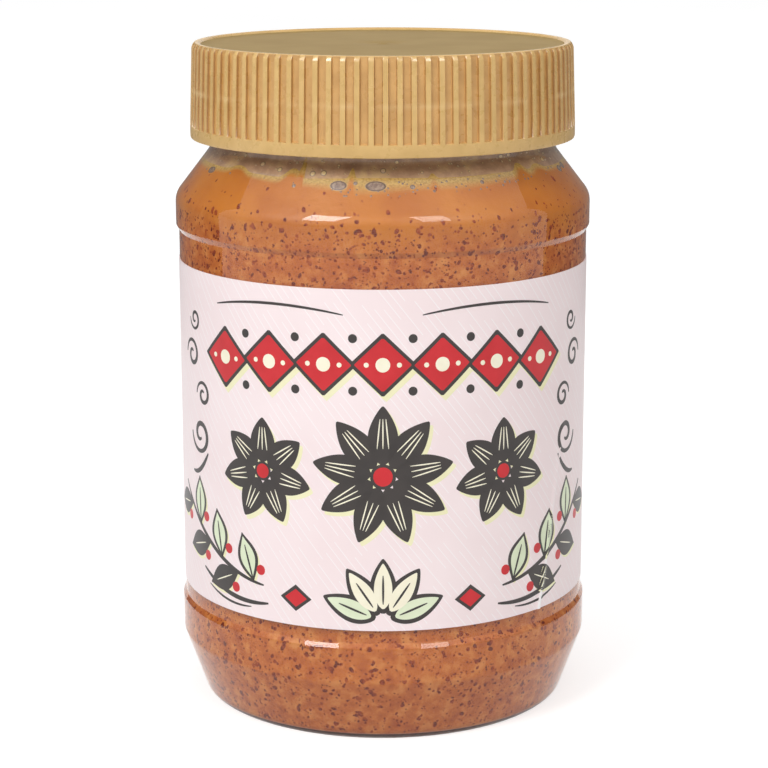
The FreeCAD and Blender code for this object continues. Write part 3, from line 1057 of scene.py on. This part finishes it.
def bow(start, end, sag):
    """Places along a shallow bow between two places; sag lifts its middle."""
    count = max(math.ceil(math.dist(start, end) / (2 * PRINT_STEP)), 8)
    places = []
    for index in range(count + 1):
        t = index / count
        along = start[0] + (end[0] - start[0]) * t
        places.append((along, start[1] + (end[1] - start[1]) * t + sag * 4 * t * (1 - t)))
    return places


def turned(origin, angle, ahead, aside=0.0):
    """Place ahead and to the left of an origin, along an angle in degrees."""
    turn = math.radians(angle)
    return (origin[0] + ahead * math.cos(turn) - aside * math.sin(turn),
            origin[1] + ahead * math.sin(turn) + aside * math.cos(turn))


def print_band(inks, centre):
    """Arched band of seven red lozenges with dark beads between them."""
    spacing = 10.6
    arch = 0.12
    for index in range(-3, 4):
        place = (centre + index * spacing, BAND_RISE - arch * index ** 2)
        shadow = (place[0] + 0.6, place[1] - 0.7)
        inks["yellow"].shape(shadow, 12.2, 11.8, 0, diamond_profile)
        inks["dark"].shape(place, 12.0, 11.6, 0, diamond_profile)
        inks["red"].shape(place, 10.2, 9.8, 0, diamond_profile)
        inks["cream"].disc(place, 2.6)
        for side in (-1, 1):
            inks["cream"].disc(turned(place, 0, side * 2.9), 0.9)
    for index in (-2.5, -1.5, -0.5, 0.5, 1.5, 2.5):
        for side in (-1, 1):
            rise = BAND_RISE - arch * index ** 2 + side * 4.7
            inks["dark"].disc((centre + index * spacing, rise), 1.6)


def print_rosette(inks, hub, reach, petals):
    """Dark almonds round a red hub, each with cream lines and a pale shadow."""
    length = 0.84 * reach
    width = 3.8 * reach / petals
    for index in range(petals):
        angle = 90 + 360 * index / petals
        place = turned(hub, angle, reach - length / 2)
        shadow = (place[0] + 0.6, place[1] - 0.7)
        inks["yellow"].shape(shadow, length, width, angle, almond_profile)
        inks["dark"].shape(place, length, width, angle, almond_profile)
        for side in (-0.19 * width, 0.0, 0.19 * width):
            start = turned(place, angle, -0.22 * length, side)
            end = turned(place, angle, 0.28 * length, side / 2)
            inks["cream"].stroke(bow(start, end, 0.0), 0.24)
    inks["dark"].disc(hub, 0.36 * reach)
    inks["red"].disc(hub, 0.27 * reach)


def print_sprig(inks, centre, hand):
    """Sprig at a lower side: leaves by turns pale and dark, and red berries."""
    stem = bow((centre + hand * 23.0, 6.5), (centre + hand * 49.0, 21.0), -3.0)
    inks["dark"].stroke(stem, 0.85)
    for order in range(6):
        joint = stem[round((0.1 + 0.15 * order) * (len(stem) - 1))]
        side = 1 if order % 2 == 0 else -1
        lean = 22 + 4 * order
        angle = lean + side * 50 if hand > 0 else 180 - lean - side * 50
        leaf = turned(joint, angle, 4.6)
        inks["yellow"].shape((leaf[0] + 0.4, leaf[1] - 0.5), 9.4, 4.9, angle, leaf_profile)
        inks["dark"].shape(leaf, 9.4, 4.9, angle, leaf_profile)
        if side > 0:
            inks["green"].shape(leaf, 7.8, 3.5, angle, leaf_profile)
            inks["line"].stroke(bow(joint, turned(joint, angle, 6.9), 0.0), 0.4)
        else:
            line = bow(turned(joint, angle, 2.0), turned(joint, angle, 6.9), 0.0)
            inks["cream"].stroke(line, 0.24)
        inks["red"].disc(turned(joint, angle + hand * side * 52, 3.0), 1.9)


def print_scrolls(inks, centre, hand):
    """Volutes up one side of the design, and the bows over it and at its foot."""
    dark = inks["dark"]
    start = 90 - hand * 90
    for away, rise, radius, way, width in SCROLLS:
        volute = spiral(centre + hand * away, rise, radius, 1.35, start, hand * way)
        dark.stroke(volute, width)
    for (away, rise), (far, high), sag, width in BOWS:
        dark.stroke(bow((centre + hand * away, rise), (centre + hand * far, high), sag), width)


def print_foot(inks, centre):
    """Fan of pale almonds at the label's foot, between two small lozenges."""
    root = (centre, 1.8)
    for index, angle in enumerate((22, 158, 56, 124, 90)):
        place = turned(root, angle, 6.6)
        inks["dark"].shape(place, 10.4, 4.9, angle, almond_profile)
        pale = inks["green" if index < 2 else "cream"]
        pale.shape(place, 8.6, 3.3, angle, almond_profile)
        middle = bow(turned(root, angle, 3.2), turned(root, angle, 8.6), 0.0)
        inks["line"].stroke(middle, 0.4)
    for side in (-1, 1):
        place = (centre + side * 16.2, 5.2)
        inks["dark"].shape(place, 6.2, 5.0, 0, diamond_profile)
        inks["red"].shape(place, 4.4, 3.4, 0, diamond_profile)


def make_print():
    """All the inks on the label: the same generic design at the front and the back."""
    inks = {}
    for name, (base, other, lift) in INKS.items():
        inks[name] = Print("print_" + name, film("ink_" + name, base, other), lift)
    for centre in (0.0, math.pi * LABEL_RADIUS):
        print_band(inks, centre)
        print_rosette(inks, (centre, HUB_RISE), reach=12.9, petals=9)
        print_foot(inks, centre)
        for hand in (-1, 1):
            hub = (centre + hand * 22.9, HUB_RISE - 0.6)
            print_rosette(inks, hub, reach=9.9, petals=7)
            print_sprig(inks, centre, hand)
            print_scrolls(inks, centre, hand)
    for ink in inks.values():
        ink.finish()


# -------- stage


# Kinds of ray that see the white surround at full strength; the others see it dimmer.
SEEING = ("Is Camera Ray", "Is Glossy Ray", "Is Transmission Ray")
DIM = 0.63
FLOOR_GLOW = 0.6

# Both lamps: distance in metres, elevation in degrees, height, and the place they face.
LAMP_DISTANCE = 1.1
LAMP_ELEVATION = 42
LAMP_HEIGHT = 0.5
LAMP_TARGET = Vector((0, 0, 0.06))

# Grey cards: place beside the jar, width and height in metres, and turn in degrees.
FLAG_PLACE = (0.26, 0.235, 0.2)
FLAG_SIZE = (0.49, 0.4)
FLAG_TURN = 49

# Camera: lens in millimetres, place in metres, pitch and roll in radians.
LENS = 107.95
CAMERA_PLACE = (0.0002, -0.4311, 0.15724)
CAMERA_PITCH = 0.2240
CAMERA_ROLL = -0.0012


def make_floor():
    """Pale floor that glows to the seeing rays alone."""
    bpy.ops.mesh.primitive_plane_add(size=8.0, location=(0, 0, 0))
    floor = bpy.context.object
    floor.name = "floor"
    surface = Surface("floor_white", roughness=0.9, specular=0.0)
    surface.colour(surface.mottle(3.0, (0.3, (205, 205, 205)), (0.7, (208, 208, 208))))
    plain = surface.shader.outputs["BSDF"]
    glow = surface.node("ShaderNodeEmission", {"Strength": FLOOR_GLOW})
    whole = surface.node("ShaderNodeAddShader", {0: plain, 1: glow.outputs["Emission"]})
    surface.blend(ray_kinds(surface.tree, SEEING), plain, whole.outputs["Shader"])
    floor.data.materials.append(surface.material)


def make_world():
    """White surround, at full strength to the seeing rays and dimmer as a light."""
    world = bpy.data.worlds.new("studio")
    world.use_nodes = True
    bpy.context.scene.world = world
    tree = world.node_tree
    back = tree.nodes["Background"]
    back.inputs["Color"].default_value = (1.0, 1.0, 1.0, 1.0)
    level = tree.nodes.new("ShaderNodeMapRange")
    level.inputs["To Min"].default_value = DIM
    level.inputs["To Max"].default_value = 1.0
    tree.links.new(ray_kinds(tree, SEEING), level.inputs["Value"])
    tree.links.new(level.outputs["Result"], back.inputs["Strength"])


def add_softbox(name, azimuth, width, power, glint, tint):
    """Upright area lamp aimed at the jar, and a brighter twin seen only in reflections."""
    elevation = math.radians(LAMP_ELEVATION)
    flat = LAMP_DISTANCE * math.cos(elevation)
    offset = Vector(around(flat, azimuth, LAMP_DISTANCE * math.sin(elevation)))
    for twin, watts in (("", power), ("_glint", glint)):
        lamp = bpy.data.lights.new(name + twin, "AREA")
        lamp.shape = "RECTANGLE"
        lamp.size = width
        lamp.size_y = LAMP_HEIGHT
        lamp.energy = watts
        lamp.color = tint
        box = put(name + twin, lamp)
        box.visible_diffuse = not twin
        box.location = LAMP_TARGET + offset
        box.rotation_euler = (-offset).to_track_quat("-Z", "Y").to_euler()


def add_flags():
    """Grey cards behind either side of the jar, seen in its gloss alone."""
    surface = Surface("flag_grey", roughness=0.9, specular=0.0)
    surface.colour(surface.mottle(5.0, (0.3, (146, 146, 146)), (0.7, (152, 152, 152))))
    away, back, height = FLAG_PLACE
    for name, side in (("flag_left", -1), ("flag_right", 1)):
        bpy.ops.mesh.primitive_plane_add(size=1.0, location=(side * away, back, height))
        card = bpy.context.object
        card.name = name
        card.scale = (*FLAG_SIZE, 1.0)
        card.rotation_euler = (math.pi / 2, 0.0, math.radians(-FLAG_TURN * side))
        card.data.materials.append(surface.material)
        for ray in ("camera", "diffuse", "transmission", "shadow"):
            setattr(card, "visible_" + ray, False)


def make_camera():
    """Camera in front of the label, a little above the lid and looking down."""
    data = bpy.data.cameras.new("camera")
    data.lens = LENS
    data.sensor_width = 36.0
    data.clip_start = 0.01
    camera = put("camera", data)
    tilt = Matrix.Rotation(math.pi / 2 - CAMERA_PITCH, 4, "X")
    roll = Matrix.Rotation(CAMERA_ROLL, 4, "Z")
    camera.matrix_world = Matrix.Translation(CAMERA_PLACE) @ tilt @ roll
    bpy.context.scene.camera = camera


# -------- build

bpy.context.scene.view_settings.view_transform = "Standard"

make_jar(clear_plastic())
make_butter(butter())
make_flecks(skin_brown())
make_painted_neck_shade(painted_neck_shade())
make_drops(bubble_skin("drop_skin", (214, 186, 150), (226, 200, 140), (104, 78, 62), (180, 150, 126)))
# The bubbles' dark ring is painted shade and their paler edge a painted highlight.
make_bubbles(bubble_skin("bubble_skin", (122, 94, 78), (158, 132, 112), (78, 50, 34), (196, 160, 104)))
make_lid(gold_plastic(), shaded_gold_top())
make_label(pink_film())
make_print()
make_floor()
make_world()
add_flags()
add_softbox("key_left", -37, 0.34, 5.2, 9.0, (1.0, 1.0, 1.0))
add_softbox("key_right", 31, 0.28, 2.1, 9.0, (1.0, 0.95, 0.91))
make_camera()
